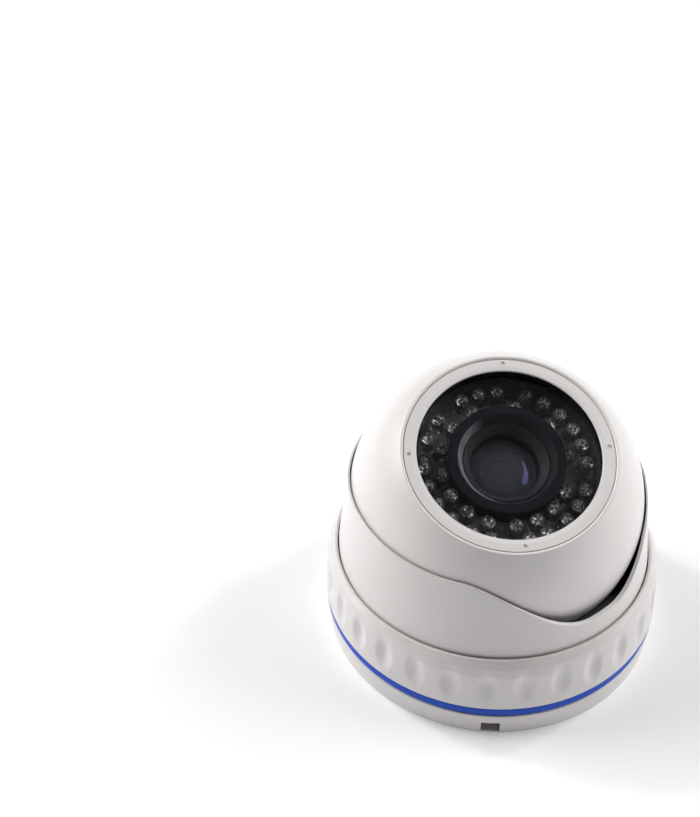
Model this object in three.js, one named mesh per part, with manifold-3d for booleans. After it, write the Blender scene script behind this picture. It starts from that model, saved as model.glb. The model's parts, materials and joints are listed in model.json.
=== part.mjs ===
// Turret security camera: a ball with a lens and infrared LEDs, held in a wavy shroud on a round base.
// Millimetres, +Z up. The origin is the centre of the base's mounting face.
// The shroud's low arch faces -Y. Azimuths are degrees from -Y towards +X.
import * as THREE from 'three';
import { mergeVertices } from 'three/addons/utils/BufferGeometryUtils.js';
import Module from 'manifold-3d';

const wasm = await Module();
wasm.setup();

// ---- driving dimensions ----
const GAP = 0.3; // air left between pieces that touch each other
const BIG = 32; // segments round the large rings
const MID = 20;
const SMALL = 8;

// Base and locking ring
const FOOT_RADIUS = 60;
const LIP_RADIUS = 60.8;
const LIP_TOP = 9.55;
const FLOOR = 2;
const COLLAR_OUTER = 57.4;
const COLLAR_INNER = 55.4;
const COLLAR_TOP = 27;
const CABLE_HOLE_RADIUS = 12;
const NOTCH_AZIMUTH = -41;
const NOTCH_WIDTH = 6.6;
const NOTCH_HEIGHT = 5.6;
const MOUNT_HOLE_RADIUS = 2.3;
const MOUNT_HOLE_CIRCLE = 44;
const MOUNT_HOLE_AZIMUTHS = [19, 139, 259];
const LUG_AZIMUTHS = [30, 150, 270];
const LUG_SPAN = 26;
const BAND_TOP = 13.25;
const SEAM_HEIGHT = 34.6;
const SCALLOPS = 30;
const SCALLOP_HEIGHT = 24.2;

// Shroud
const RIM_HEIGHT = 64;
const ARCH_DEPTH = 22;
const ARCH_FLAT = 5;
const ARCH_SPAN = 55;
const WAVE_FOOT = 36;

// Ball
const BALL_HEIGHT = 54.3;
const BALL_RADIUS = 51.6;
const SHELL_WALL = 2.2;
const SOCKET_RADIUS = 52.1;
const AIM_AZIMUTH = -28.8;
const AIM_TILT = 22.6; // from straight up

// Inside the ball: heights are measured along the optical axis from the ball's centre
const SHELL_SEAM = -10;
const FACE = 36.65; // front of the bezel
const BEZEL_INNER = 30.3;
const BEZEL_OUTER = 34.7;
const GLASS_FRONT = 33.6;
const GLASS_BACK = 31.6;
const LED_BOARD = 17.8;
const BOARD = 1.6;
const LED_RADIUS = 2.5;
const LED_TIP = 28.2;
const OUTER_LED_CIRCLE = 27.4;
const INNER_LED_CIRCLE = 21.9;
const POST_ANGLES = [16, 106.6, 286];
const BOSS_CIRCLE = 36;
const SENSOR_ANGLE = 187.5;
const SPANNER_ANGLES = [356, 86, 176, 266];
const LEDGE_RADIUS = 32.2; // the shell's step that carries the glass
const LEDGE_BACK = 28.3;
const LEDGE_FRONT = 30.3;
const LED_BOARD_RADIUS = 37;
const BARREL_RADIUS = 13.2;
const BARREL_BORE = 12;
const BRACKET = -14;
const MAIN_BOARD = -7;
const BACK_FACE = -28;
const GLAND_HOLE = 6.4;

// ---- geometry helpers ----
const rad = THREE.MathUtils.degToRad;

// A closed solid of revolution about Z from [radius, height] points.
function lathe(profile, segments = BIG) {
  const points = profile.map(([r, z]) => new THREE.Vector2(r, z));
  if (profile[0][0] > 0) points.push(points[0].clone());
  if (THREE.ShapeUtils.area(points) < 0) points.reverse();
  return new THREE.LatheGeometry(points, segments).rotateX(Math.PI / 2);
}

function rod(radius, z0, z1, x = 0, y = 0, segments = SMALL) {
  return new THREE.CylinderGeometry(radius, radius, z1 - z0, segments)
    .rotateX(Math.PI / 2)
    .translate(x, y, (z0 + z1) / 2);
}

// A box given by its centre in X and Y, its size, and its two heights.
function block(width, depth, z0, z1, x = 0, y = 0) {
  return new THREE.BoxGeometry(width, depth, z1 - z0).translate(x, y, (z0 + z1) / 2);
}

// A flat ring sector between two radii, centred on an azimuth.
function sector(inner, outer, z0, z1, azimuth, span) {
  const a = rad(azimuth - 90 - span / 2);
  const b = rad(azimuth - 90 + span / 2);
  const outline = new THREE.Shape();
  outline.absarc(0, 0, outer, a, b, false);
  outline.absarc(0, 0, inner, b, a, true);
  const options = { depth: z1 - z0, bevelEnabled: false, curveSegments: 4 };
  return new THREE.ExtrudeGeometry(outline, options).translate(0, 0, z0);
}

function solid(geometry) {
  const bare = geometry.clone();
  bare.deleteAttribute('normal');
  bare.deleteAttribute('uv');
  const merged = mergeVertices(bare, 1e-4);
  const mesh = new wasm.Mesh({
    numProp: 3,
    vertProperties: merged.attributes.position.array,
    triVerts: new Uint32Array(merged.index.array),
  });
  return new wasm.Manifold(mesh);
}

function fromSolid(manifold) {
  const mesh = manifold.getMesh();
  const geometry = new THREE.BufferGeometry();
  geometry.setAttribute('position', new THREE.BufferAttribute(mesh.vertProperties, 3));
  geometry.setIndex(new THREE.BufferAttribute(mesh.triVerts, 1));
  geometry.computeVertexNormals();
  return geometry;
}

function cut(geometry, tools) {
  return fromSolid(tools.reduce((body, tool) => body.subtract(solid(tool)), solid(geometry)));
}

function join(geometries) {
  return fromSolid(geometries.map(solid).reduce((body, piece) => body.add(piece)));
}

// On the base: a point at a radius and azimuth.
const around = (radius, azimuth) => [radius * Math.sin(rad(azimuth)), -radius * Math.cos(rad(azimuth))];
// On the ball's face: a point at a radius and a clock angle from the top, seen from the front.
const onFace = (radius, angle) => [radius * Math.sin(rad(angle)), radius * Math.cos(rad(angle))];
// Radius of a sphere's section at a height from its centre.
const sphere = (radius, height) => Math.sqrt(radius * radius - height * height);

// Points along a sphere's outline between two heights from its centre.
function arc(radius, from, to, steps) {
  const a = Math.asin(from / radius);
  const b = Math.asin(to / radius);
  return Array.from({ length: steps + 1 }, (_, i) => {
    const t = a + ((b - a) * i) / steps;
    return [radius * Math.cos(t), radius * Math.sin(t)];
  });
}

// ---- finishes ----
const paint = { color: 0xe9e6e4, roughness: 0.38, metalness: 0 };
const blue = { color: 0x2143b4, roughness: 0.4, metalness: 0 };
const rubber = { color: 0x1c1c1d, roughness: 0.7, metalness: 0 };
const blackPlastic = { color: 0x161617, roughness: 0.45, metalness: 0 };
const glass = { color: 0x2a2d31, roughness: 0.05, metalness: 0, transparent: true, opacity: 0.3 };
const lensGlass = { color: 0x20222c, roughness: 0.03, metalness: 0, transparent: true, opacity: 0.5 };
const epoxy = { color: 0xd9dde2, roughness: 0.1, metalness: 0, transparent: true, opacity: 0.6 };
const boardBlack = { color: 0x101211, roughness: 0.5, metalness: 0 };
const boardGreen = { color: 0x1f5a34, roughness: 0.5, metalness: 0 };
const steel = { color: 0xb9bbbe, roughness: 0.3, metalness: 1 };
const castMetal = { color: 0x8f9194, roughness: 0.5, metalness: 0.9 };
const chip = { color: 0x1a1b1e, roughness: 0.4, metalness: 0 };
const connector = { color: 0xe5e0d2, roughness: 0.5, metalness: 0 };
const leadRed = { color: 0xa32a20, roughness: 0.5, metalness: 0 };

const camera = new THREE.Group();
const swivel = new THREE.Group(); // turns about the vertical to aim the tilt axis
swivel.position.z = BALL_HEIGHT;
swivel.rotation.z = rad(AIM_AZIMUTH);
const ball = new THREE.Group(); // its +Z is the optical axis
ball.rotation.x = rad(AIM_TILT);
swivel.add(ball);
camera.add(swivel);

function part(parent, name, geometry, look) {
  const mesh = new THREE.Mesh(geometry, new THREE.MeshStandardMaterial(look));
  mesh.name = name;
  parent.add(mesh);
}

// ---- base ----
function baseCup() {
  const cup = lathe([
    [CABLE_HOLE_RADIUS, 0],
    [FOOT_RADIUS, 0],
    [LIP_RADIUS, LIP_TOP - 0.3],
    [LIP_RADIUS - 0.3, LIP_TOP],
    [COLLAR_OUTER, LIP_TOP],
    [COLLAR_OUTER, COLLAR_TOP],
    [COLLAR_INNER, COLLAR_TOP],
    [COLLAR_INNER, FLOOR + 2],
    [COLLAR_INNER - 2, FLOOR],
    [CABLE_HOLE_RADIUS, FLOOR],
  ]);
  const lugs = LUG_AZIMUTHS.map((a) => sector(COLLAR_OUTER - 1, 58.7, 16, 18, a, LUG_SPAN));
  const holes = MOUNT_HOLE_AZIMUTHS.map((a) => rod(MOUNT_HOLE_RADIUS, -1, 3, ...around(MOUNT_HOLE_CIRCLE, a)));
  const notch = block(NOTCH_WIDTH, 14, -1, NOTCH_HEIGHT, 0, -56).rotateZ(rad(NOTCH_AZIMUTH));
  return cut(join([cup, ...lugs]), [...holes, notch]);
}

part(camera, 'base_cup', baseCup(), paint);

const trimBand = lathe([
  [59, LIP_TOP + GAP],
  [60.5, LIP_TOP + GAP],
  [60.5, BAND_TOP],
  [59, BAND_TOP],
]);
part(camera, 'trim_band', trimBand, blue);

const baseSeal = lathe([
  [COLLAR_OUTER + 0.2, LIP_TOP + GAP],
  [58.7, LIP_TOP + GAP],
  [58.7, LIP_TOP + 2],
  [COLLAR_OUTER + 0.2, LIP_TOP + 2],
]);
part(camera, 'base_seal', baseSeal, rubber);

const bearingWasher = lathe([
  [COLLAR_INNER + 0.2, COLLAR_TOP + GAP],
  [COLLAR_OUTER - 0.1, COLLAR_TOP + GAP],
  [COLLAR_OUTER - 0.1, COLLAR_TOP + 1.3],
  [COLLAR_INNER + 0.2, COLLAR_TOP + 1.3],
]);
part(camera, 'bearing_washer', bearingWasher, blackPlastic);

// ---- locking ring ----
function lockRing() {
  const ring = lathe([
    [59.1, BAND_TOP + GAP],
    [60.8, BAND_TOP + GAP],
    [59.9, 29],
    [58.9, 32.6],
    [56.7, SEAM_HEIGHT],
    [56.05, SEAM_HEIGHT - 0.2],
    [56.05, 32.5],
    [57.9, 32.5],
    [57.9, 19.5],
    [59.1, 18.6],
  ]);
  const lugs = LUG_AZIMUTHS.map((a) => sector(57.75, 59.6, BAND_TOP + 0.5, 15.7, a, LUG_SPAN));
  const dimples = Array.from({ length: SCALLOPS }, (_, i) => {
    const azimuth = NOTCH_AZIMUTH - 2 + (i * 360) / SCALLOPS;
    const [x, y] = around(62.4, azimuth);
    return new THREE.SphereGeometry(1, 6, 4)
      .scale(5.2, 3, 9.2)
      .rotateZ(rad(azimuth))
      .translate(x, y, SCALLOP_HEIGHT);
  });
  return cut(join([ring, ...lugs]), dimples);
}

part(camera, 'lock_ring', lockRing(), paint);

const ringSeal = lathe([
  [55.95, 31.25],
  [57.3, 31.25],
  [57.3, 32.1],
  [55.95, 32.1],
]);
part(camera, 'ring_seal', ringSeal, rubber);

// ---- shroud ----
const shroudOuter = (z) => 55.6 - (3.7 * (z - SEAM_HEIGHT)) / (65 - SEAM_HEIGHT);
const shroudInner = (z) =>
  z > BALL_HEIGHT
    ? sphere(SOCKET_RADIUS, z - BALL_HEIGHT)
    : SOCKET_RADIUS + (1.4 * (BALL_HEIGHT - z)) / (BALL_HEIGHT - WAVE_FOOT);

// Height of the shroud's edge: a low arch at azimuth 0, a level rim elsewhere.
function rimHeight(azimuth) {
  const arch = THREE.MathUtils.smoothstep(Math.abs(azimuth), ARCH_FLAT, ARCH_SPAN);
  const lobe = THREE.MathUtils.smoothstep(Math.abs(azimuth), ARCH_SPAN, 2 * ARCH_SPAN);
  return RIM_HEIGHT - ARCH_DEPTH * (1 - arch) + 1.5 * lobe;
}

function turretShroud() {
  const steps = 4;
  const rise = Array.from({ length: steps + 1 }, (_, i) => WAVE_FOOT + ((RIM_HEIGHT - WAVE_FOOT) * i) / steps);
  const geometry = lathe(
    [
      [53.4, 24],
      [55, 24],
      [55, 28.6],
      [57.3, 28.6],
      [57.3, 30.9],
      [55.6, 31],
      [55.6, SEAM_HEIGHT],
      ...rise.map((z) => [shroudOuter(z), z]),
      ...rise.reverse().map((z) => [shroudInner(z), z]),
    ],
    40,
  );
  const position = geometry.attributes.position;
  for (let i = 0; i < position.count; i += 1) {
    const x = position.getX(i);
    const y = position.getY(i);
    const z = position.getZ(i);
    if (z < WAVE_FOOT + 0.01) continue;
    const radius = Math.hypot(x, y);
    const azimuth = THREE.MathUtils.radToDeg(Math.atan2(x, -y));
    const share = (z - WAVE_FOOT) / (RIM_HEIGHT - WAVE_FOOT);
    const height = WAVE_FOOT + share * (rimHeight(azimuth) - WAVE_FOOT);
    const onOuter = radius > (shroudOuter(z) + shroudInner(z)) / 2;
    const wanted = onOuter ? shroudOuter(height) : shroudInner(height);
    position.setXYZ(i, (x * wanted) / radius, (y * wanted) / radius, height);
  }
  return geometry;
}

part(camera, 'turret_shroud', turretShroud(), paint);

const seatRetainer = lathe([
  [46, 24.3],
  [53.1, 24.3],
  [53.1, 26.2],
  [46, 26.2],
]);
part(camera, 'seat_retainer', seatRetainer, steel);

// ---- ball seat ----
const seatInner = (z) => sphere(BALL_RADIUS + 0.4, z - BALL_HEIGHT);
const seatRing = lathe([
  [48.2, 26.6],
  [53, 26.6],
  [53, 38.6],
  [seatInner(38.6) + 0.2, 38.6],
  [seatInner(34.5), 34.5],
  [seatInner(30), 30],
]);
part(camera, 'seat_ring', seatRing, blackPlastic);

// ---- ball shells ----
const frontShell = lathe([
  ...arc(BALL_RADIUS, SHELL_SEAM, 36, 6),
  [36.5, 36.6],
  [36, 36.95],
  [35.5, 36.95],
  [35.05, 36.5],
  [35.05, LEDGE_FRONT],
  [LEDGE_RADIUS, LEDGE_FRONT],
  [LEDGE_RADIUS, LEDGE_BACK],
  [39, LEDGE_BACK],
  ...arc(BALL_RADIUS - SHELL_WALL, 26.5, SHELL_SEAM, 3),
]);
part(ball, 'front_shell', frontShell, paint);

function rearShell() {
  const shell = lathe([
    [GLAND_HOLE, BACK_FACE],
    [42.5, BACK_FACE],
    [sphere(BALL_RADIUS, BACK_FACE + 1), BACK_FACE + 1],
    ...arc(BALL_RADIUS, -24, SHELL_SEAM - 1.2, 2),
    ...arc(BALL_RADIUS - SHELL_WALL, SHELL_SEAM - 1.2, BACK_FACE + SHELL_WALL, 3),
    [GLAND_HOLE, BACK_FACE + SHELL_WALL],
  ]);
  const bosses = POST_ANGLES.map((a) => rod(3.2, BACK_FACE + 1, BRACKET - GAP, ...onFace(BOSS_CIRCLE, a)));
  const holes = POST_ANGLES.map((a) => rod(1.25, BACK_FACE + 4, BRACKET + 1, ...onFace(BOSS_CIRCLE, a)));
  return cut(join([shell, ...bosses]), holes);
}

part(ball, 'rear_shell', rearShell(), paint);

const shellGasket = lathe(
  [
    [48.7, SHELL_SEAM - 0.9],
    [50.3, SHELL_SEAM - 0.9],
    [50.3, SHELL_SEAM - 0.3],
    [48.7, SHELL_SEAM - 0.3],
  ],
  MID,
);
part(ball, 'shell_gasket', shellGasket, rubber);

// ---- cable gland in the ball's back ----
const cableGland = lathe(
  [
    [1.95, -31.6],
    [7.2, -31.6],
    [8.6, -30.6],
    [8.6, BACK_FACE - GAP],
    [5.9, BACK_FACE - GAP],
    [5.9, -21],
    [1.95, -21],
  ],
  20,
);
part(ball, 'cable_gland', cableGland, rubber);

const nutFoot = BACK_FACE + SHELL_WALL + GAP;
const nutBore = rod(6.3, nutFoot - 1, nutFoot + 4, 0, 0, 20);
part(ball, 'gland_nut', cut(rod(9.4, nutFoot, nutFoot + 2.9, 0, 0, 6), [nutBore]), blackPlastic);

// ---- face: bezel, glass, gasket, hood ----
function bezelRing() {
  const ring = lathe([
    [BEZEL_INNER, GLASS_FRONT + GAP],
    [BEZEL_OUTER, GLASS_FRONT + GAP],
    [BEZEL_OUTER, FACE - 0.2],
    [BEZEL_OUTER - 0.2, FACE],
    [BEZEL_INNER + 0.3, FACE],
    [BEZEL_INNER, FACE - 0.3],
  ]);
  const spannerHoles = SPANNER_ANGLES.map((a) => rod(0.65, FACE - 1, FACE + 1, ...onFace(32.6, a), 8));
  return cut(ring, spannerHoles);
}

part(ball, 'bezel_ring', bezelRing(), paint);
part(ball, 'front_glass', rod(33.9, GLASS_BACK, GLASS_FRONT, 0, 0, BIG), glass);

// The gasket lies under the glass and turns down over the edge of the ledge.
const glassGasket = lathe([
  [LEDGE_RADIUS - 0.7, LEDGE_BACK - 0.4],
  [LEDGE_RADIUS - GAP, LEDGE_BACK - 0.4],
  [LEDGE_RADIUS - GAP, LEDGE_FRONT + GAP],
  [34.3, LEDGE_FRONT + GAP],
  [34.3, GLASS_BACK - GAP],
  [LEDGE_RADIUS - 0.7, GLASS_BACK - GAP],
]);
part(ball, 'glass_gasket', glassGasket, rubber);

const lensHood = lathe(
  [
    [14.6, LED_BOARD + BOARD + GAP],
    [18, LED_BOARD + BOARD + GAP],
    [18.2, 21.2],
    [19.1, 21.8],
    [19.1, 30.6],
    [18.5, 31.2],
    [15.6, 31.2],
    [15, 30.6],
    [14.6, 26],
  ],
  28,
);
part(ball, 'lens_hood', lensHood, rubber);

// ---- infrared LED board ----
const ledBoard = cut(
  lathe(
    [
      [15, LED_BOARD],
      [LED_BOARD_RADIUS, LED_BOARD],
      [LED_BOARD_RADIUS, LED_BOARD + BOARD],
      [15, LED_BOARD + BOARD],
    ],
    MID,
  ),
  POST_ANGLES.map((a) => rod(1.2, LED_BOARD - 1, LED_BOARD + 3, ...onFace(OUTER_LED_CIRCLE, a))),
);
part(ball, 'led_board', ledBoard, boardBlack);

// Runs of evenly spaced LEDs: first clock angle, step and count.
const OUTER_RUNS = [
  [-21.8, 13.6, 3],
  [26.4, 13.9, 6],
  [117.5, 13.2, 3],
  [161, 13, 2],
  [201, 14.5, 2],
  [232, 14.1, 4],
  [297.7, 16.7, 2],
];
const INNER_RUNS = [
  [20, 34, 3],
  [124.8, 19.1, 4],
  [206, 20.3, 4],
  [293.3, 23.4, 3],
];

function ledPlaces(circle, runs) {
  return runs.flatMap(([start, step, count]) =>
    Array.from({ length: count }, (_, i) => onFace(circle, start + step * i)),
  );
}

// The LEDs stand in one black spacer plate that keeps them upright.
function ledArray() {
  const foot = LED_BOARD + BOARD + GAP;
  const dome = [
    [0, foot + 0.2],
    [LED_RADIUS, foot + 0.2],
    [LED_RADIUS, LED_TIP - 0.7 * LED_RADIUS],
    [0, LED_TIP],
  ];
  const plate = lathe(
    [
      [19, foot],
      [30.8, foot],
      [30.8, foot + 0.8],
      [19, foot + 0.8],
    ],
    MID,
  );
  const places = [...ledPlaces(OUTER_LED_CIRCLE, OUTER_RUNS), ...ledPlaces(INNER_LED_CIRCLE, INNER_RUNS)];
  const leds = places.map(([x, y]) => lathe(dome, 6).translate(x, y, 0));
  const screwHoles = POST_ANGLES.map((a) => rod(2.3, foot - 1, foot + 2, ...onFace(OUTER_LED_CIRCLE, a)));
  const sensorHole = rod(2.5, foot - 1, foot + 2, ...onFace(OUTER_LED_CIRCLE, SENSOR_ANGLE));
  return join([cut(plate, [...screwHoles, sensorHole]), ...leds]);
}

part(ball, 'ir_leds', ledArray(), epoxy);
const sensorSpot = onFace(OUTER_LED_CIRCLE, SENSOR_ANGLE);
part(ball, 'light_sensor', rod(2.1, LED_BOARD + BOARD + GAP, 22, ...sensorSpot, 16), chip);

function screw(head, headTop, headHeight, shank, tip) {
  return lathe(
    [
      [0, tip],
      [shank, tip],
      [shank, headTop - headHeight],
      [head, headTop - headHeight],
      [head, headTop - 0.3],
      [head - 0.3, headTop],
      [0, headTop],
    ],
    SMALL,
  );
}

POST_ANGLES.forEach((angle, i) => {
  const [x, y] = onFace(OUTER_LED_CIRCLE, angle);
  const boardTop = LED_BOARD + BOARD;
  const post = lathe(
    [
      [0, BRACKET + 1.5],
      [2.4, BRACKET + 1.5],
      [2.4, LED_BOARD - GAP],
      [1.2, LED_BOARD - GAP],
      [1.2, LED_BOARD - 6],
      [0, LED_BOARD - 6],
    ],
    SMALL,
  );
  part(ball, `led_post_${i + 1}`, post.translate(x, y, 0), steel);
  const led = screw(1.9, boardTop + GAP + 1.3, 1.3, 0.85, LED_BOARD - 5);
  part(ball, `led_board_screw_${i + 1}`, led.translate(x, y, 0), steel);
  const [bx, by] = onFace(BOSS_CIRCLE, angle);
  const bracketTop = BRACKET + 1.2;
  const fixing = screw(2.6, bracketTop + GAP + 1.8, 1.8, 0.95, BACK_FACE + 5);
  part(ball, `bracket_screw_${i + 1}`, fixing.translate(bx, by, 0), steel);
});

// ---- bracket, main board and sensor ----
function bracket() {
  const plate = rod(40.5, BRACKET, BRACKET + 1.2, 0, 0, MID);
  const holes = POST_ANGLES.map((a) => rod(1.3, BRACKET - 1, BRACKET + 2, ...onFace(BOSS_CIRCLE, a)));
  const window = rod(9, BRACKET - 1, BRACKET + 2, 0, 0, 20);
  return cut(plate, [...holes, window]);
}

part(ball, 'camera_bracket', bracket(), steel);
const CORNERS = [
  [1, 1],
  [-1, 1],
  [-1, -1],
  [1, -1],
];
CORNERS.forEach(([sx, sy], i) => {
  part(ball, `board_spacer_${i + 1}`, rod(2.1, BRACKET + 1.5, MAIN_BOARD - GAP, 16 * sx, 16 * sy), blackPlastic);
});
part(ball, 'main_board', block(38, 38, MAIN_BOARD, MAIN_BOARD + BOARD), boardGreen);
part(ball, 'image_processor', block(12, 12, MAIN_BOARD - GAP - 1.2, MAIN_BOARD - GAP, 0, -2), chip);
const boardTop = MAIN_BOARD + BOARD;
part(ball, 'image_sensor', block(9, 8, boardTop + GAP, boardTop + GAP + 1.2), chip);

// ---- lens mount with the day and night filter ----
const MOUNT_FOOT = boardTop + GAP;
const SLOT = 1.5;
const MOUNT_TOP = 6;
const FILTER_TRAVEL = 6.5;

const lensMount = cut(block(22, 20, MOUNT_FOOT, MOUNT_TOP), [
  block(14, 13, MOUNT_FOOT - 1, SLOT - 1.2),
  block(26, 10, SLOT, SLOT + 2),
  rod(4.6, SLOT - 3, MOUNT_TOP + 1, 0, 0, 20),
]);
part(ball, 'lens_mount', lensMount, blackPlastic);

const windowHole = (x) => rod(2.9, SLOT - 1, SLOT + 3, x, 0, 16);
const carriage = cut(block(14, 9.2, SLOT + 0.4, SLOT + 1.6, FILTER_TRAVEL / 2), [
  windowHole(0),
  windowHole(FILTER_TRAVEL),
]);
part(ball, 'filter_carriage', carriage, blackPlastic);
part(ball, 'infrared_cut_filter', rod(2.6, SLOT + 0.7, SLOT + 1.3, 0, 0, 16), lensGlass);
part(ball, 'clear_filter', rod(2.6, SLOT + 0.7, SLOT + 1.3, FILTER_TRAVEL, 0, 16), glass);
part(ball, 'filter_actuator', block(8, 4.5, MOUNT_FOOT, 3, 0, -12.6), castMetal);

// ---- varifocal lens ----
const lensBarrel = lathe(
  [
    [5.2, MOUNT_TOP + GAP],
    [9.5, MOUNT_TOP + GAP],
    [9.5, 6.9],
    [BARREL_RADIUS, 6.9],
    [BARREL_RADIUS, 20.3],
    [14.1, 20.3],
    [14.1, 25.4],
    [13.8, 25.8],
    [12.2, 23],
    [BARREL_BORE, 21.9],
    [BARREL_BORE, 8],
    [5.2, 8],
  ],
  MID,
);
part(ball, 'lens_barrel', lensBarrel, blackPlastic);

// A grip ring round the barrel with a tapped hole for its thumb screw.
function adjustingRing(z0, z1, angle) {
  const ring = lathe(
    [
      [BARREL_RADIUS + GAP, z0],
      [15.9, z0],
      [15.9, z1],
      [BARREL_RADIUS + GAP, z1],
    ],
    MID,
  );
  const hole = rod(1.3, BARREL_RADIUS, 18).rotateX(-Math.PI / 2).translate(0, 0, (z0 + z1) / 2);
  return cut(ring, [hole.rotateZ(rad(-angle))]);
}

function thumbScrew(z, angle) {
  const profile = [
    [0, 14.2],
    [0.95, 14.2],
    [0.95, 16.4],
    [1.9, 16.4],
    [1.9, 21.5],
    [0, 21.5],
  ];
  return lathe(profile, SMALL).rotateX(-Math.PI / 2).translate(0, 0, z).rotateZ(rad(-angle));
}

part(ball, 'zoom_ring', adjustingRing(7.2, 11.6, 60), blackPlastic);
part(ball, 'zoom_thumb_screw', thumbScrew(9.4, 60), castMetal);
part(ball, 'focus_ring', adjustingRing(12.8, 17.2, 200), blackPlastic);
part(ball, 'focus_thumb_screw', thumbScrew(15, 200), castMetal);

const focusCell = lathe(
  [
    [10.6, 13.6],
    [BARREL_BORE - GAP, 13.6],
    [BARREL_BORE - GAP, 20.6],
    [11.2, 20.6],
    [11.2, 17],
    [10.6, 17],
  ],
  MID,
);
part(ball, 'focus_cell', focusCell, blackPlastic);
const frontElement = lathe([[0, 17.6], [8, 18.1], [10.9, 19.2], [10.9, 19.9], [7.6, 21.5], [4, 22.2], [0, 22.4]], MID);
part(ball, 'front_element', frontElement, lensGlass);

const zoomCell = lathe(
  [
    [7.3, 9.2],
    [BARREL_BORE - GAP, 9.2],
    [BARREL_BORE - GAP, 11.9],
    [7.3, 11.9],
  ],
  MID,
);
part(ball, 'zoom_cell', zoomCell, blackPlastic);
const rearElement = lathe([[0, 9.3], [4, 9.5], [7, 10.1], [7, 11.1], [4, 11.6], [0, 11.8]], 24);
part(ball, 'rear_element', rearElement, lensGlass);

// ---- LED lead and its connectors ----
part(ball, 'main_connector', block(5, 7, boardTop + GAP, boardTop + 4, -15.5, 0), connector);
part(ball, 'led_connector', block(6, 5, LED_BOARD - GAP - 3.2, LED_BOARD - GAP, -25, 0), connector);

function ledLead() {
  const route = new THREE.CatmullRomCurve3([
    new THREE.Vector3(-15.5, 0, boardTop + 4.3),
    new THREE.Vector3(-16.2, 0, boardTop + 7.5),
    new THREE.Vector3(-21.5, 0, 6),
    new THREE.Vector3(-25, 0, 10.5),
    new THREE.Vector3(-25, 0, LED_BOARD - GAP - 3.5),
  ]);
  const section = new THREE.Shape();
  section.absarc(0, 0, 0.9, 0, 2 * Math.PI, false);
  return new THREE.ExtrudeGeometry(section, { steps: 9, curveSegments: 6, extrudePath: route });
}

part(ball, 'led_lead', ledLead(), leadRed);

export default camera;
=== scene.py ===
# A turret security camera on a pale studio floor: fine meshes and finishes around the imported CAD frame.
# Profiles are in millimetres and are scaled to metres as each mesh is made.
import json
import math

import bmesh
import bpy
from mathutils import Matrix, Vector


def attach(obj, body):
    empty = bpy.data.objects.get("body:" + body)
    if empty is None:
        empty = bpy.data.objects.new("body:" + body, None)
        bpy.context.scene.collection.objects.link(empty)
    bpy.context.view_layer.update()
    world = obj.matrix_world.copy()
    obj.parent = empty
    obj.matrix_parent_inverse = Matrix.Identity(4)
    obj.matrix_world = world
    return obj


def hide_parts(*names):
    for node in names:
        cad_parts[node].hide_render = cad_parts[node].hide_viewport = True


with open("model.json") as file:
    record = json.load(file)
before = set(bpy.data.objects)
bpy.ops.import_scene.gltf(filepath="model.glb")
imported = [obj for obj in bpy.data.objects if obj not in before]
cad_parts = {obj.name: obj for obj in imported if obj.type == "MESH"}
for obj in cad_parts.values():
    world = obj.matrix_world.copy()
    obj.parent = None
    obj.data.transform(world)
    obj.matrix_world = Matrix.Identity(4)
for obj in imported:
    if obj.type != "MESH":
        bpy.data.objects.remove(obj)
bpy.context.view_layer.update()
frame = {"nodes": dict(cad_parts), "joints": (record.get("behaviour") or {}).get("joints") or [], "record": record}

MM = 0.001
JOINTS = {joint["name"]: joint for joint in frame["joints"]}

# ---- places taken from the frame ----
BALL_CENTRE = Vector(JOINTS["ball_roll"]["pos_m"])
OPTICAL_AXIS = Vector(JOINTS["ball_roll"]["axis"]).normalized()
TILT_AXIS = Vector(JOINTS["ball_tilt"]["axis"]).normalized()
BALL_UP = OPTICAL_AXIS.cross(TILT_AXIS)
UPRIGHT = Matrix.Identity(4)
AIMED = Matrix.Translation(BALL_CENTRE) @ Matrix((TILT_AXIS, BALL_UP, OPTICAL_AXIS)).transposed().to_4x4()


def reach(node, place=UPRIGHT):
    """Smallest and largest radius, and lowest and highest point, of a CAD node about an axis, in mm."""
    inverse = place.inverted()
    points = [inverse @ vertex.co / MM for vertex in frame["nodes"][node].data.vertices]
    radii = [math.hypot(point.x, point.y) for point in points]
    heights = [point.z for point in points]
    return min(radii), max(radii), min(heights), max(heights)


# Base and locking ring
HOLE, LIP, _, COLLAR_TOP = reach("base_cup")
_, BAND, BAND_FOOT, BAND_TOP = reach("trim_band")
_, RING, RING_FOOT, SEAM = reach("lock_ring")
FOOT = LIP - 0.8
LIP_TOP = BAND_FOOT - 0.3
NOTCH_AZIMUTH = -41
SCALLOPS = 30
SCALLOP_HEIGHT = 24.2
SCALLOP_SIZE = (4.1, 8.2)
SCALLOP_DEPTH = 1.15
NOTCH = 6.6
NOTCH_TOP = 5.6
NOTCH_WEB = 0.4
SCREW_CIRCLE = 44
SCREW_HOLES = (19, 139, 259)
BAYONET = (30, 150, 270)

# Shroud
_, _, SKIRT_FOOT, SHROUD_TOP = reach("turret_shroud")
ARCH_DEPTH = 22
ARCH_FLAT = 5
ARCH_SPAN = 55
LOBE = 1.5
RIM = SHROUD_TOP - LOBE
SOCKET = 52.1

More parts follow.
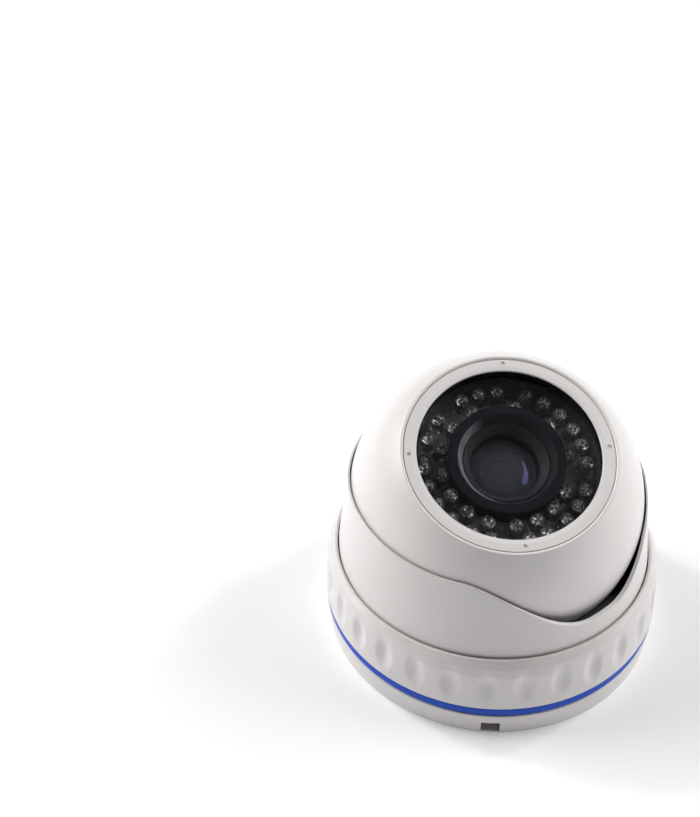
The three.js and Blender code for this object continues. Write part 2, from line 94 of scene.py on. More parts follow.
# Ball, with heights along the optical axis
BALL_HEIGHT = BALL_CENTRE.z / MM
BALL = 51.6
WALL = 2.2
SHELL_SEAM = -10
FACE = reach("bezel_ring", AIMED)[3]
BEZEL_INNER, BEZEL_OUTER, BEZEL_BACK, _ = reach("bezel_ring", AIMED)
PIT_CIRCLE = 33.2
PIT_ANGLES = (7.5, 94, 183, 275.5)
_, GLASS, GLASS_BACK, GLASS_FRONT = reach("front_glass", AIMED)
LEDGE = 32.2
LEDGE_BACK = 28.3
LEDGE_FRONT = 30.3
HOOD_INNER, HOOD, HOOD_FOOT, HOOD_TOP = reach("lens_hood", AIMED)
BOARD_INNER, BOARD_OUTER, BOARD_BACK, BOARD_FRONT = reach("led_board", AIMED)
LED_TIP = reach("ir_leds", AIMED)[3]
LED_FOOT = BOARD_FRONT + 0.3
LED = 2.5
POST_ANGLES = (16, 106.6, 286)
BOSS_CIRCLE = 36
SENSOR_ANGLE = 187.5
BACK_FACE = -28
GLAND_HOLE = 6.4
OUTER_CIRCLE = 27.4
INNER_CIRCLE = 21.9
OUTER_RUNS = ((-21.8, 13.6, 3), (26.4, 13.9, 6), (117.5, 13.2, 3), (161, 13, 2),
              (201, 14.5, 2), (232, 14.1, 4), (297.7, 16.7, 2))
INNER_RUNS = ((20, 34, 3), (124.8, 19.1, 4), (206, 20.3, 4), (293.3, 23.4, 3))

# ---- camera ----
CAMERA_AT = Vector((-0.2242, -0.2241, 0.3581))
CAMERA_HEADING = 35.92
CAMERA_PITCH = -39.83
CAMERA_ROLL = -1.73
CAMERA_LENS = 54.22
SENSOR_WIDTH = 36
VIEW_AZIMUTH = -43

# ---- stage ----
WORLD_STRENGTH = 0.44
FLOOR_HALF_WIDTH = 40
SOFT_BOX = (0.8, 0.9)
GLINT_LAMP = (0.07, 0.07)


# ---- mesh helpers ----
def rounded(corners, arc_step=15):
    """A closed outline through (radius, height[, fillet]) corners, with each fillet drawn as an arc."""
    outline = []
    count = len(corners)
    for i, corner in enumerate(corners):
        here = Vector(corner[:2])
        if len(corner) == 2:
            outline.append(here)
            continue
        before = Vector(corners[i - 1][:2]) - here
        after = Vector(corners[(i + 1) % count][:2]) - here
        half = before.angle(after) / 2
        setback = min(corner[2] / math.tan(half), 0.48 * before.length, 0.48 * after.length)
        radius = setback * math.tan(half)
        centre = here + (before.normalized() + after.normalized()).normalized() * (radius / math.sin(half))
        start = here + before.normalized() * setback - centre
        end = here + after.normalized() * setback - centre
        first = math.atan2(start.y, start.x)
        sweep = (math.atan2(end.y, end.x) - first + math.pi) % (2 * math.pi) - math.pi
        steps = max(2, math.ceil(abs(math.degrees(sweep)) / arc_step))
        for k in range(steps + 1):
            angle = first + sweep * k / steps
            outline.append(centre + Vector((math.cos(angle), math.sin(angle))) * radius)
    return outline


def ball_arc(radius, low, high, steps):
    """Points on a sphere's outline between two heights from its centre."""
    first = math.asin(low / radius)
    last = math.asin(high / radius)
    angles = [first + (last - first) * i / steps for i in range(steps + 1)]
    return [(radius * math.cos(a), radius * math.sin(a)) for a in angles]


def straight(start, end, steps):
    """Evenly spaced points from start up to, and not including, end."""
    return [
        tuple(a + (b - a) * i / steps for a, b in zip(start, end))
        for i in range(steps)
    ]


def revolve(outline, segments, warp=None):
    """A solid of revolution about Z as a bmesh, in mm. warp(angle, radius, height) may move a point."""
    mesh = bmesh.new()
    rings = []
    for step in range(segments):
        angle = 2 * math.pi * step / segments
        ring = []
        for k, (radius, height) in enumerate(outline):
            if radius < 1e-6 and step:
                ring.append(rings[0][k])
                continue
            if warp:
                radius, height = warp(angle, radius, height)
            ring.append(mesh.verts.new((radius * math.sin(angle), -radius * math.cos(angle), height)))
        rings.append(ring)
    count = len(outline)
    on_axis = outline[0][0] < 1e-6
    for step in range(segments):
        here = rings[step]
        there = rings[(step + 1) % segments]
        for k in range(count - 1 if on_axis else count):
            corners = [here[k], there[k], there[(k + 1) % count], here[(k + 1) % count]]
            unique = list(dict.fromkeys(corners))
            if len(unique) > 2:
                mesh.faces.new(unique)
    bmesh.ops.recalc_face_normals(mesh, faces=mesh.faces)
    return mesh


def box_mesh(width, depth, height, centre, angle=0):
    """A box as a bmesh, turned about Z and then moved to its centre."""
    mesh = bmesh.new()
    bmesh.ops.create_cube(mesh, size=1)
    bmesh.ops.scale(mesh, vec=(width, depth, height), verts=mesh.verts)
    bmesh.ops.translate(mesh, vec=centre, verts=mesh.verts)
    turn = Matrix.Rotation(math.radians(angle), 3, "Z")
    bmesh.ops.rotate(mesh, cent=(0, 0, 0), matrix=turn, verts=mesh.verts)
    return mesh


def sector_mesh(inner, outer, low, high, azimuth, span, steps=12):
    """A flat ring sector centred on an azimuth, as a bmesh."""
    mesh = bmesh.new()
    sections = []
    for i in range(steps + 1):
        angle = math.radians(azimuth - span / 2 + span * i / steps)
        corners = ((inner, low), (outer, low), (outer, high), (inner, high))
        sections.append([mesh.verts.new((r * math.sin(angle), -r * math.cos(angle), z)) for r, z in corners])
    for here, there in zip(sections, sections[1:]):
        for k in range(4):
            mesh.faces.new((here[k], there[k], there[(k + 1) % 4], here[(k + 1) % 4]))
    mesh.faces.new(sections[0])
    mesh.faces.new(sections[-1])
    bmesh.ops.recalc_face_normals(mesh, faces=mesh.faces)
    return mesh


def moved(mesh, matrix):
    bmesh.ops.transform(mesh, matrix=matrix, verts=mesh.verts)
    return mesh


def merged(meshes):
    """One bmesh that holds all of these."""
    whole = bmesh.new()
    for mesh in meshes:
        data = bpy.data.meshes.new("scratch")
        mesh.to_mesh(data)
        whole.from_mesh(data)
        bpy.data.meshes.remove(data)
        mesh.free()
    return whole


def scratch_object(mesh):
    data = bpy.data.meshes.new("scratch")
    mesh.to_mesh(data)
    mesh.free()
    item = bpy.data.objects.new("scratch", data)
    bpy.context.scene.collection.objects.link(item)
    return item


def carved(mesh, cutters, operation="DIFFERENCE"):
    """mesh cut by cutters, or joined with them, as a bmesh."""
    body = scratch_object(mesh)
    tool = scratch_object(merged(cutters))
    boolean = body.modifiers.new("cut", "BOOLEAN")
    boolean.operation = operation
    boolean.solver = "EXACT"
    boolean.use_self = operation == "UNION"
    boolean.object = tool
    graph = bpy.context.evaluated_depsgraph_get()
    result = bmesh.new()
    result.from_mesh(body.evaluated_get(graph).to_mesh())
    for item in (body, tool):
        data = item.data
        bpy.data.objects.remove(item)
        bpy.data.meshes.remove(data)
    return result


def face_spot(radius, angle, height=0):
    """A place on the ball's face at a clock angle from the top, seen from the front."""
    turn = math.radians(angle)
    return Matrix.Translation((radius * math.sin(turn), radius * math.cos(turn), height))


def base_spot(radius, azimuth, height=0):
    """A place on the base at an azimuth from -Y towards +X."""
    turn = math.radians(azimuth)
    return Matrix.Translation((radius * math.sin(turn), -radius * math.cos(turn), height))


def piece(name, mesh, material, body, replaces=(), place=UPRIGHT, sharp=32, inside=None):
    """Turns a bmesh in mm into a named piece; inside is (material, test) for faces of a second finish."""
    bmesh.ops.scale(mesh, vec=(MM, MM, MM), verts=mesh.verts)
    data = bpy.data.meshes.new(name)
    mesh.to_mesh(data)
    mesh.free()
    data.materials.append(material)
    data.shade_smooth()
    data.set_sharp_from_angle(angle=math.radians(sharp))
    if inside:
        data.materials.append(inside[0])
        for polygon in data.polygons:
            if inside[1](polygon.center / MM):
                polygon.material_index = 1
    data.transform(place)
    item = bpy.data.objects.new(name, data)
    bpy.context.scene.collection.objects.link(item)
    item.modifiers.new("normals", "WEIGHTED_NORMAL").keep_sharp = True
    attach(item, body)
    if replaces:
        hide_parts(*replaces)
    return item


# ---- material helpers ----
class Shader:
    """A material with a Principled BSDF, built node by node."""

    def __init__(self, name, roughness=0.5, metallic=0.0, **values):
        self.material = bpy.data.materials.new(name)
        self.material.use_nodes = True
        self.tree = self.material.node_tree
        self.main = self.tree.nodes["Principled BSDF"]
        self.main.inputs["Roughness"].default_value = roughness
        self.main.inputs["Metallic"].default_value = metallic
        for label, value in values.items():
            self.main.inputs[label.replace("_", " ").title().replace("Ior", "IOR")].default_value = value
        self.places = self.node("ShaderNodeTexCoord").outputs["Object"]

    def node(self, kind, **settings):
        made = self.tree.nodes.new(kind)
        for label, value in settings.items():
            setattr(made, label, value)
        return made

    def link(self, source, target):
        self.tree.links.new(source, target)

    def stretched(self, scale, turn=(0, 0, 0), vector=None):
        mapping = self.node("ShaderNodeMapping")
        mapping.inputs["Scale"].default_value = scale
        mapping.inputs["Rotation"].default_value = [math.radians(a) for a in turn]
        self.link(vector or self.places, mapping.inputs["Vector"])
        return mapping.outputs["Vector"]

    def ball_places(self):
        """Coordinates from the ball's centre, with Z along the optical axis."""
        mapping = self.node("ShaderNodeMapping", vector_type="TEXTURE")
        mapping.inputs["Location"].default_value = BALL_CENTRE
        mapping.inputs["Rotation"].default_value = AIMED.to_euler()
        self.link(self.places, mapping.inputs["Vector"])
        return mapping.outputs["Vector"]

    def noise(self, scale, detail=3.0, rough=0.5, vector=None):
        texture = self.node("ShaderNodeTexNoise")
        texture.inputs["Scale"].default_value = scale
        texture.inputs["Detail"].default_value = detail
        texture.inputs["Roughness"].default_value = rough
        self.link(vector or self.places, texture.inputs["Vector"])
        return texture.outputs["Fac"]

    def cells(self, scale, feature="F1", vector=None):
        texture = self.node("ShaderNodeTexVoronoi", feature=feature)
        texture.inputs["Scale"].default_value = scale
        self.link(vector or self.places, texture.inputs["Vector"])
        return texture

    def ramp(self, source, low, high, start=0.0, end=1.0):
        """source mapped so that low gives start and high gives end."""
        mapped = self.node("ShaderNodeMapRange")
        for label, value in (("From Min", low), ("From Max", high), ("To Min", start), ("To Max", end)):
            mapped.inputs[label].default_value = value
        self.link(source, mapped.inputs["Value"])
        return mapped.outputs["Result"]

    def maths(self, operation, first, second):
        made = self.node("ShaderNodeMath", operation=operation)
        for value, socket in ((first, made.inputs[0]), (second, made.inputs[1])):
            if isinstance(value, (int, float)):
                socket.default_value = value
            else:
                self.link(value, socket)
        return made.outputs[0]

    def mix(self, share, first, second):
        """A colour between first and second, each a colour or a socket."""
        made = self.node("ShaderNodeMix", data_type="RGBA")
        self.link(share, made.inputs["Factor"])
        for value, socket in ((first, made.inputs[6]), (second, made.inputs[7])):
            if isinstance(value, tuple):
                socket.default_value = (*value, 1)
            else:
                self.link(value, socket)
        return made.outputs[2]

    def colour(self, source):
        self.link(source, self.main.inputs["Base Color"])

    def roughness(self, source):
        self.link(source, self.main.inputs["Roughness"])

    def bump(self, source, strength, depth):
        """Adds a bump of depth mm on top of any made before."""
        made = self.node("ShaderNodeBump")
        made.inputs["Strength"].default_value = strength
        made.inputs["Distance"].default_value = depth * MM
        self.link(source, made.inputs["Height"])
        normal = self.main.inputs["Normal"]
        if normal.links:
            self.link(normal.links[0].from_socket, made.inputs["Normal"])
        self.link(made.outputs["Normal"], normal)

    def lets_light_through(self, tint=(1, 1, 1)):
        """Shadow rays pass, so what lies behind the clear piece is lit."""
        output = self.tree.nodes["Material Output"]
        rays = self.node("ShaderNodeLightPath")
        clear = self.node("ShaderNodeBsdfTransparent")
        clear.inputs["Color"].default_value = (*tint, 1)
        mix = self.node("ShaderNodeMixShader")
        self.link(rays.outputs["Is Shadow Ray"], mix.inputs["Fac"])
        self.link(self.main.outputs["BSDF"], mix.inputs[1])
        self.link(clear.outputs["BSDF"], mix.inputs[2])
        self.link(mix.outputs["Shader"], output.inputs["Surface"])


# ---- finishes ----
def white_paint():
    """Warm white semi-gloss powder paint with a few faint scratches, specks and light soiling."""
    shader = Shader("white_paint", coat_weight=0.2, coat_roughness=0.12)
    soil = shader.ramp(shader.noise(18, 4, 0.55), 0.35, 0.8)
    tinted = shader.mix(soil, (0.725, 0.700, 0.689), (0.695, 0.668, 0.655))
    scratches = []
    for scale, turn in (((30, 900, 30), (0, 20, 25)), ((700, 25, 40), (15, 0, -50))):
        streaks = shader.cells(1.0, "DISTANCE_TO_EDGE", shader.stretched(scale, turn)).outputs["Distance"]
        patches = shader.ramp(shader.noise(70, 2), 0.66, 0.72)
        scratches.append(shader.maths("MULTIPLY", shader.ramp(streaks, 0.012, 0.0), patches))
    marks = shader.maths("MAXIMUM", *scratches)
    scuffed = shader.mix(shader.maths("MULTIPLY", marks, 0.25), tinted, (0.52, 0.50, 0.48))
    dots = shader.cells(110)
    rare = shader.ramp(shader.noise(300, 0, 0.5, dots.outputs["Position"]), 0.70, 0.73)
    specks = shader.maths("MULTIPLY", shader.ramp(dots.outputs["Distance"], 0.045, 0.025), rare)
    shader.colour(shader.mix(shader.maths("MULTIPLY", specks, 0.6), scuffed, (0.22, 0.20, 0.18)))
    shader.roughness(shader.ramp(shader.noise(70, 4, 0.6), 0.3, 0.7, 0.30, 0.40))
    shader.bump(shader.noise(900, 2), 0.15, 0.02)
    shader.bump(marks, 0.3, -0.01)
    return shader.material


def painted_shade_inside():
    """Die-cast metal inside the shells, painted near-black as the shade that fills them, with a coarse cast grain.
    """
    shader = Shader("painted_shade_inside", specular_ior_level=0.2)
    grain = shader.noise(420, 5, 0.65)
    # Near-black colour: painted shade on the inside faces, mottled by the cast grain.
    shader.colour(shader.mix(grain, (0.016, 0.012, 0.012), (0.036, 0.029, 0.028)))
    shader.roughness(shader.ramp(grain, 0.3, 0.7, 0.55, 0.8))
    shader.bump(grain, 0.4, 0.12)
    return shader.material


def blue_plastic():
    """Royal blue moulded plastic with a light polish and fine rubbed marks."""
    shader = Shader("blue_trim", specular_ior_level=0.18)
    cloud = shader.noise(45, 4, 0.6)
    rubbed = shader.cells(1.0, "DISTANCE_TO_EDGE", shader.stretched((90, 90, 1400))).outputs["Distance"]
    lines = shader.maths("MULTIPLY", shader.ramp(rubbed, 0.03, 0.0), shader.ramp(cloud, 0.5, 0.65))
    base = shader.mix(cloud, (0.002, 0.062, 0.49), (0.006, 0.082, 0.59))
    shader.colour(shader.mix(shader.maths("MULTIPLY", lines, 0.2), base, (0.10, 0.18, 0.62)))
    shader.roughness(shader.ramp(cloud, 0.3, 0.7, 0.34, 0.48))
    shader.bump(shader.noise(1100, 2), 0.12, 0.02)
    return shader.material


def black_rubber():
    """Matte black rubber with a fine grain and a trace of grey dust."""
    shader = Shader("black_rubber", specular_ior_level=0.05)
    grain = shader.noise(1500, 4, 0.7)
    dust = shader.ramp(shader.noise(2600, 2, 0.6), 0.68, 0.78)
    base = shader.mix(shader.noise(120, 4), (0.004, 0.0036, 0.006), (0.007, 0.0065, 0.010))
    shader.colour(shader.mix(shader.maths("MULTIPLY", dust, 0.08), base, (0.16, 0.16, 0.18)))
    shader.roughness(shader.ramp(grain, 0.3, 0.7, 0.55, 0.75))
    shader.bump(grain, 0.3, 0.04)
    return shader.material


def rubber_painted_highlight():
    """The hood's inner wall, black rubber with a satin grey highlight painted on one side."""
    shader = Shader("rubber_painted_highlight", specular_ior_level=0.15)
    split = shader.node("ShaderNodeSeparateXYZ")
    shader.link(shader.ball_places(), split.inputs[0])
    # Painted highlight: the wall's -X side is turned satin grey, as where the light falls on it, mottled by noise.
    side = shader.ramp(split.outputs["X"], -5 * MM, -12 * MM)
    highlight_mottle = shader.ramp(shader.noise(260, 4, 0.6), 0.3, 0.7, 0.6, 1.0)
    painted_highlight = shader.maths("MULTIPLY", side, highlight_mottle)
    shader.colour(shader.mix(painted_highlight, (0.006, 0.0055, 0.008), (0.125, 0.125, 0.133)))
    shader.roughness(shader.ramp(highlight_mottle, 0.6, 1.0, 0.45, 0.6))
    shader.bump(shader.noise(1500, 3, 0.6), 0.25, 0.03)
    return shader.material


def black_plastic():
    """Black moulded plastic with a spark-eroded texture."""
    shader = Shader("black_plastic", specular_ior_level=0.4)
    grain = shader.noise(1300, 3, 0.6)
    shader.colour(shader.mix(shader.noise(90, 4), (0.010, 0.010, 0.011), (0.020, 0.020, 0.022)))
    shader.roughness(shader.ramp(grain, 0.3, 0.7, 0.40, 0.58))
    shader.bump(grain, 0.25, 0.04)
    return shader.material


def lens_black():
    """Anodised black of the lens mouth, with turned rings and a soft sheen."""
    shader = Shader("lens_black", specular_ior_level=0.12)
    rings = shader.stretched((60, 60, 5200), vector=shader.ball_places())
    turned_marks = shader.noise(1.0, 4, 0.6, rings)
    shader.colour(shader.mix(turned_marks, (0.011, 0.011, 0.013), (0.019, 0.019, 0.022)))
    shader.roughness(shader.ramp(turned_marks, 0.3, 0.7, 0.45, 0.6))
    shader.bump(turned_marks, 0.15, 0.02)
    return shader.material


def clear_glass(name, colour, ior, dust_share, clarity=1.0):
    """Clear glass or epoxy with faint dust and wiping haze."""
    shader = Shader(name, roughness=0.0, transmission_weight=clarity, ior=ior)
    dust = shader.ramp(shader.noise(900, 3, 0.7), 0.72, 0.8)
    haze = shader.ramp(shader.noise(40, 3), 0.5, 0.8)
    cover = shader.maths("MULTIPLY", dust, shader.maths("MULTIPLY", haze, dust_share))
    shader.colour(shader.mix(cover, colour, (0.6, 0.6, 0.6)))
    shader.roughness(shader.ramp(cover, 0.0, 1.0, 0.0, 0.5))
    shader.lets_light_through(colour)
    return shader.material


def coated_glass():
    """Dark optical glass whose thin coating reflects blue and violet."""
    shader = Shader("lens_glass", roughness=0.0, transmission_weight=0.85, ior=1.5)
    shader.main.inputs["Thin Film Thickness"].default_value = 330
    shader.main.inputs["Thin Film IOR"].default_value = 1.38
    shader.colour(shader.mix(shader.noise(60, 2), (0.17, 0.17, 0.20), (0.21, 0.21, 0.25)))
    shader.bump(shader.noise(50, 1), 0.05, 0.01)
    shader.lets_light_through((0.45, 0.45, 0.5))
    return shader.material


def cup_with_painted_glints():
    """Bright plated metal, hammered, with glints painted into its colour as bright and near-black speckles, so
    that it glitters through the LED's dome.
    """
    shader = Shader("led_frame", metallic=1.0)
    hammer = shader.cells(1900)
    grain = shader.noise(2600, 4, 0.8)
    # Painted glints: the colour jumps between near-black and bright white in fine noise speckles.
    painted_glints = shader.ramp(shader.noise(1700, 2, 0.6), 0.44, 0.56)
    shader.colour(shader.mix(painted_glints, (0.06, 0.06, 0.063), (0.98, 0.97, 0.96)))
    shader.roughness(shader.ramp(grain, 0.3, 0.7, 0.12, 0.3))
    shader.bump(hammer.outputs["Distance"], 0.9, 0.25)
    shader.bump(grain, 0.7, 0.12)
    return shader.material


def board_mask(name, low, high):
    """Solder mask over copper tracks, slightly glossy."""
    shader = Shader(name)
    tracks = shader.cells(260, "DISTANCE_TO_EDGE").outputs["Distance"]
    raised = shader.ramp(tracks, 0.05, 0.09)
    shader.colour(shader.mix(raised, low, high))
    shader.roughness(shader.ramp(shader.noise(500, 3), 0.3, 0.7, 0.35, 0.5))
    shader.bump(raised, 0.3, 0.04)
    return shader.material


def chip_black():
    """Moulded chip package with a fine matte grain."""
    shader = Shader("chip_black")
    grain = shader.noise(2400, 4, 0.7)
    shader.colour(shader.mix(grain, (0.012, 0.012, 0.014), (0.03, 0.03, 0.033)))
    shader.roughness(shader.ramp(grain, 0.3, 0.7, 0.4, 0.6))
    shader.bump(grain, 0.3, 0.03)
    return shader.material


def plated(name, low, high, rough):
    """Plated metal with fine streaks and a slightly uneven shine."""
    shader = Shader(name, metallic=1.0)
    streaks = shader.noise(1.0, 4, 0.6, shader.stretched((2600, 200, 200)))
    shader.colour(shader.mix(streaks, low, high))
    shader.roughness(shader.ramp(shader.noise(300, 4), 0.3, 0.7, rough - 0.06, rough + 0.1))
    shader.bump(streaks, 0.15, 0.02)
    return shader.material


def nylon():
    """Natural nylon with cloudy flow marks."""
    shader = Shader("connector_nylon", subsurface_weight=0.1)
    flow = shader.noise(150, 4, 0.6)
    shader.colour(shader.mix(flow, (0.66, 0.62, 0.52), (0.78, 0.75, 0.66)))
    shader.roughness(shader.ramp(flow, 0.3, 0.7, 0.38, 0.52))
    shader.bump(shader.noise(900, 2), 0.2, 0.03)
    return shader.material


def red_insulation():
    """Red wire insulation with a soft extruded sheen."""
    shader = Shader("lead_red")
    flow = shader.noise(500, 3, 0.6)
    shader.colour(shader.mix(flow, (0.36, 0.02, 0.015), (0.50, 0.035, 0.025)))
    shader.roughness(shader.ramp(flow, 0.3, 0.7, 0.35, 0.5))
    shader.bump(flow, 0.15, 0.02)
    return shader.material


def studio_floor():
    """Pale matte acrylic with a faint light from below, which grows far from the object."""
    shader = Shader("studio_floor", roughness=0.9)
    fibre = shader.noise(40, 4, 0.6)
    shader.colour(shader.mix(fibre, (0.93, 0.93, 0.93), (0.95, 0.95, 0.95)))
    distance = shader.node("ShaderNodeVectorMath", operation="LENGTH")
    shader.link(shader.places, distance.inputs[0])
    glow = shader.ramp(distance.outputs["Value"], 1.0, 2.5, 0.1, 0.75)
    shader.main.inputs["Emission Color"].default_value = (1, 1, 1, 1)
    shader.link(glow, shader.main.inputs["Emission Strength"])
    return shader.material


WHITE = white_paint()
# Painted shade for the faces inside the shells.
SHADE_INSIDE = painted_shade_inside()
BLUE = blue_plastic()
RUBBER = black_rubber()
# Black rubber with a painted highlight on one side, for the hood's inner lip.
RUBBER_HIGHLIGHT = rubber_painted_highlight()
PLASTIC = black_plastic()
MOUTH = lens_black()
FACE_GLASS = clear_glass("face_glass", (0.97, 0.98, 0.98), 1.5, 0.5)
EPOXY = clear_glass("led_epoxy", (0.95, 0.96, 0.97), 1.52, 0.2, 0.975)
LENS_GLASS = coated_glass()
BOARD_BLACK = board_mask("led_board_black", (0.165, 0.155, 0.170), (0.215, 0.203, 0.220))
BOARD_GREEN = board_mask("board_green", (0.010, 0.075, 0.028), (0.018, 0.14, 0.05))
CHIP = chip_black()
STEEL = plated("steel", (0.42, 0.43, 0.44), (0.58, 0.59, 0.60), 0.3)
NICKEL = plated("plated_metal", (0.46, 0.45, 0.43), (0.60, 0.59, 0.56), 0.22)
# Plated cup metal with glints painted into its colour.
SILVER = cup_with_painted_glints()
NYLON = nylon()
RED = red_insulation()

FINISH_OF_SLOT = {
    "white_paint": WHITE,
    "blue_trim": BLUE,
    "black_rubber": RUBBER,
    "black_plastic": PLASTIC,
    "face_glass": FACE_GLASS,
    "lens_glass": LENS_GLASS,
    "led_epoxy": EPOXY,
    "led_board_black": BOARD_BLACK,
    "board_green": BOARD_GREEN,
    "chip_black": CHIP,
    "steel": STEEL,
    "plated_metal": NICKEL,
    "connector_nylon": NYLON,
    "lead_red": RED,
}


def finish_cad_nodes():
    """Every CAD node takes the finish of its slot in the record."""
    for subpart in frame["record"]["subparts"]:
        item = frame["nodes"][subpart["node"]]
        item.data.materials.clear()
        item.data.materials.append(FINISH_OF_SLOT[subpart["material_slot"]])


# ---- base ----
def make_base():
    outline = rounded([
        (HOLE, 0, 0.3),
        (FOOT, 0, 0.5),
        (LIP, LIP_TOP - 0.3, 0.25),
        (LIP - 0.3, LIP_TOP, 0.2),
        (57.4, LIP_TOP),
        (57.4, COLLAR_TOP, 0.4),
        (55.4, COLLAR_TOP, 0.4),
        (55.4, 4, 1.5),
        (53.4, 2, 1.5),
        (HOLE, 2, 0.3),
    ])
    cup = revolve(outline, 288)
    lugs = [sector_mesh(56.4, 58.7, 16, 18, azimuth, 26) for azimuth in BAYONET]
    joined = carved(cup, lugs, "UNION")
    bore = rounded([(0, -1), (2.3, -1), (2.3, 1.2), (3.4, 2.3), (3.4, 3), (0, 3)])
    cutters = [moved(revolve(bore, 40), base_spot(SCREW_CIRCLE, azimuth)) for azimuth in SCREW_HOLES]
    cutters.append(box_mesh(NOTCH, 6, NOTCH_TOP + 1, (0, -62.6, (NOTCH_TOP - 1) / 2), NOTCH_AZIMUTH))
    cup = carved(joined, cutters)
    roof = NOTCH_TOP - 0.1
    middle = (0, -54.7, (roof + NOTCH_WEB) / 2)
    cup = carved(cup, [box_mesh(NOTCH - 0.1, 11, roof - NOTCH_WEB, middle, NOTCH_AZIMUTH)])

    # Inside faces of the cup, apart from the notch, take the near-black painted shade.
    def painted_shade_faces(p):
        turn = math.radians(NOTCH_AZIMUTH)
        across = math.cos(turn) * p.x + math.sin(turn) * p.y
        outward = math.sin(turn) * p.x - math.cos(turn) * p.y
        in_notch = outward > 49 and abs(across) < NOTCH / 2 + 0.01 and p.z < NOTCH_TOP + 0.01
        return p.xy.length < 57.2 and p.z > 0.3 and not in_notch

    piece("base_shell", cup, WHITE, "base", ["base_cup"], inside=(SHADE_INSIDE, painted_shade_faces))


def make_trim():
    outline = rounded([
        (59, BAND_FOOT, 0.1),
        (BAND, BAND_FOOT, 0.45),
        (BAND, BAND_TOP, 0.45),
        (59, BAND_TOP, 0.1),
    ])
    piece("blue_band", revolve(outline, 288), BLUE, "base", ["trim_band"])


def dimpled(angle, radius, height):
    """Pushes the locking ring's wall in where a finger scallop lies."""
    if radius < 59.4 - (height - RING_FOOT) * 0.12:
        return radius, height
    pitch = 2 * math.pi / SCALLOPS
    offset = (angle - math.radians(NOTCH_AZIMUTH - 2)) % pitch
    across = min(offset, pitch - offset) * radius / SCALLOP_SIZE[0]
    along = (height - SCALLOP_HEIGHT) / SCALLOP_SIZE[1]
    inside = max(0.0, 1 - across * across - along * along)
    return radius - SCALLOP_DEPTH * inside ** 1.7, height


def make_lock_ring():
    outer = [(RING, RING_FOOT, 0.35)] + straight((60.7, 15.4), (60.0, 28.6), 24)
    outline = rounded([
        (59.1, RING_FOOT, 0.2),
        *outer,
        (59.95, 29.2, 4),
        (58.95, 32.5, 3),
        (57.5, SEAM - 0.65, 0.5),
        (57.2, SEAM - 0.1, 0.25),
        (56.7, SEAM, 0.3),
        (56.0, SEAM - 0.2, 0.25),
        (56.0, 32.5, 0.2),
        (57.9, 32.5),
        (57.9, 19.5),
        (59.1, 18.6),
    ], 10)
    ring = revolve(outline, 720, dimpled)
    lugs = [sector_mesh(57.75, 59.6, 13.75, 15.7, azimuth, 26) for azimuth in BAYONET]
    ring = carved(ring, lugs, "UNION")
    # Inside faces of the ring take the near-black painted shade.
    painted_shade_faces = (SHADE_INSIDE, lambda p: math.hypot(p.x, p.y) < 59.0 and p.z < 32.4)
    piece("locking_ring", ring, WHITE, "ring", ["lock_ring"], inside=painted_shade_faces)


def smooth(value, low, high):
    share = max(0.0, min(1.0, (value - low) / (high - low)))
    return share * share * (3 - 2 * share)


def rim_height(azimuth):
    """The shroud's edge: a low arch at azimuth 0 and a level rim elsewhere."""
    away = abs(azimuth)
    arch = 1 - smooth(away, ARCH_FLAT, ARCH_SPAN)
    return RIM - ARCH_DEPTH * arch + LOBE * smooth(away, ARCH_SPAN, 2 * ARCH_SPAN)


def shroud_outer(height):
    return 55.6 - 3.7 * (height - SEAM) / 30.4


def shroud_inner(height):
    if height > BALL_HEIGHT:
        return math.sqrt(SOCKET ** 2 - (height - BALL_HEIGHT) ** 2)
    return SOCKET + 1.4 * (BALL_HEIGHT - height) / 18.3


def shroud_section(azimuth):
    """The shroud's outline at an azimuth: skirt, outer wall, rounded rim and inner wall."""
    top = rim_height(azimuth)
    edge = 0.34
    foot = 35.2
    rows = 40
    heights = [foot + (top - edge - foot) * i / rows for i in range(rows + 1)]
    outer_edge = shroud_outer(top)
    inner_edge = shroud_inner(top)
    rim = []
    for i in range(1, 6):
        turn = math.radians(18 * i)
        rim.append((outer_edge - edge * (1 - math.cos(turn)), top - edge * (1 - math.sin(turn))))
    for i in range(5):
        turn = math.radians(90 - 18 * i)
        rim.append((inner_edge + edge * (1 - math.cos(turn)), top - edge * (1 - math.sin(turn))))
    skirt = [(53.4, SKIRT_FOOT), (55, SKIRT_FOOT), (55, 28.6), (57.3, 28.6), (57.3, 30.8), (57.2, 30.9),
             (55.6, 31), (55.6, 33)]
    outer = [(shroud_outer(h), h) for h in heights]
    inner = [(shroud_inner(h), h) for h in reversed(heights)]
    return skirt + outer + rim + inner


def make_shroud():
    segments = 480
    mesh = bmesh.new()
    sections = []
    for step in range(segments):
        azimuth = 360 * step / segments
        signed = azimuth - 360 if azimuth > 180 else azimuth
        turn = math.radians(azimuth)
        section = shroud_section(signed)
        sections.append([mesh.verts.new((r * math.sin(turn), -r * math.cos(turn), z)) for r, z in section])
    count = len(sections[0])
    for step in range(segments):
        here = sections[step]
        there = sections[(step + 1) % segments]
        for k in range(count):
            mesh.faces.new((here[k], there[k], there[(k + 1) % count], here[(k + 1) % count]))
    bmesh.ops.recalc_face_normals(mesh, faces=mesh.faces)
    # Inside faces of the shroud below 60 mm take the near-black painted shade.
    painted_shade_faces = (SHADE_INSIDE, lambda p: math.hypot(p.x, p.y) < shroud_inner(max(p.z, 36)) + 0.12 and p.z < 60)
    piece("shroud", mesh, WHITE, "turret", ["turret_shroud"], sharp=40, inside=painted_shade_faces)


def make_seat():
    def cup(height):
        return math.sqrt((BALL + 0.4) ** 2 - (height - BALL_HEIGHT) ** 2)

    inner = [(cup(h), h) for h in (37.5, 36.3, 35.1, 33.9, 32.7, 31.5, 30.2)]
    outline = rounded([
        (48.2, 26.6, 0.3),
        (53, 26.6, 0.4),
        (53, 38.6, 0.35),
        (cup(38.6) + 0.2, 38.6, 0.1),
        *inner,
    ])
    piece("ball_seat", revolve(outline, 288), PLASTIC, "seat", ["seat_ring"])


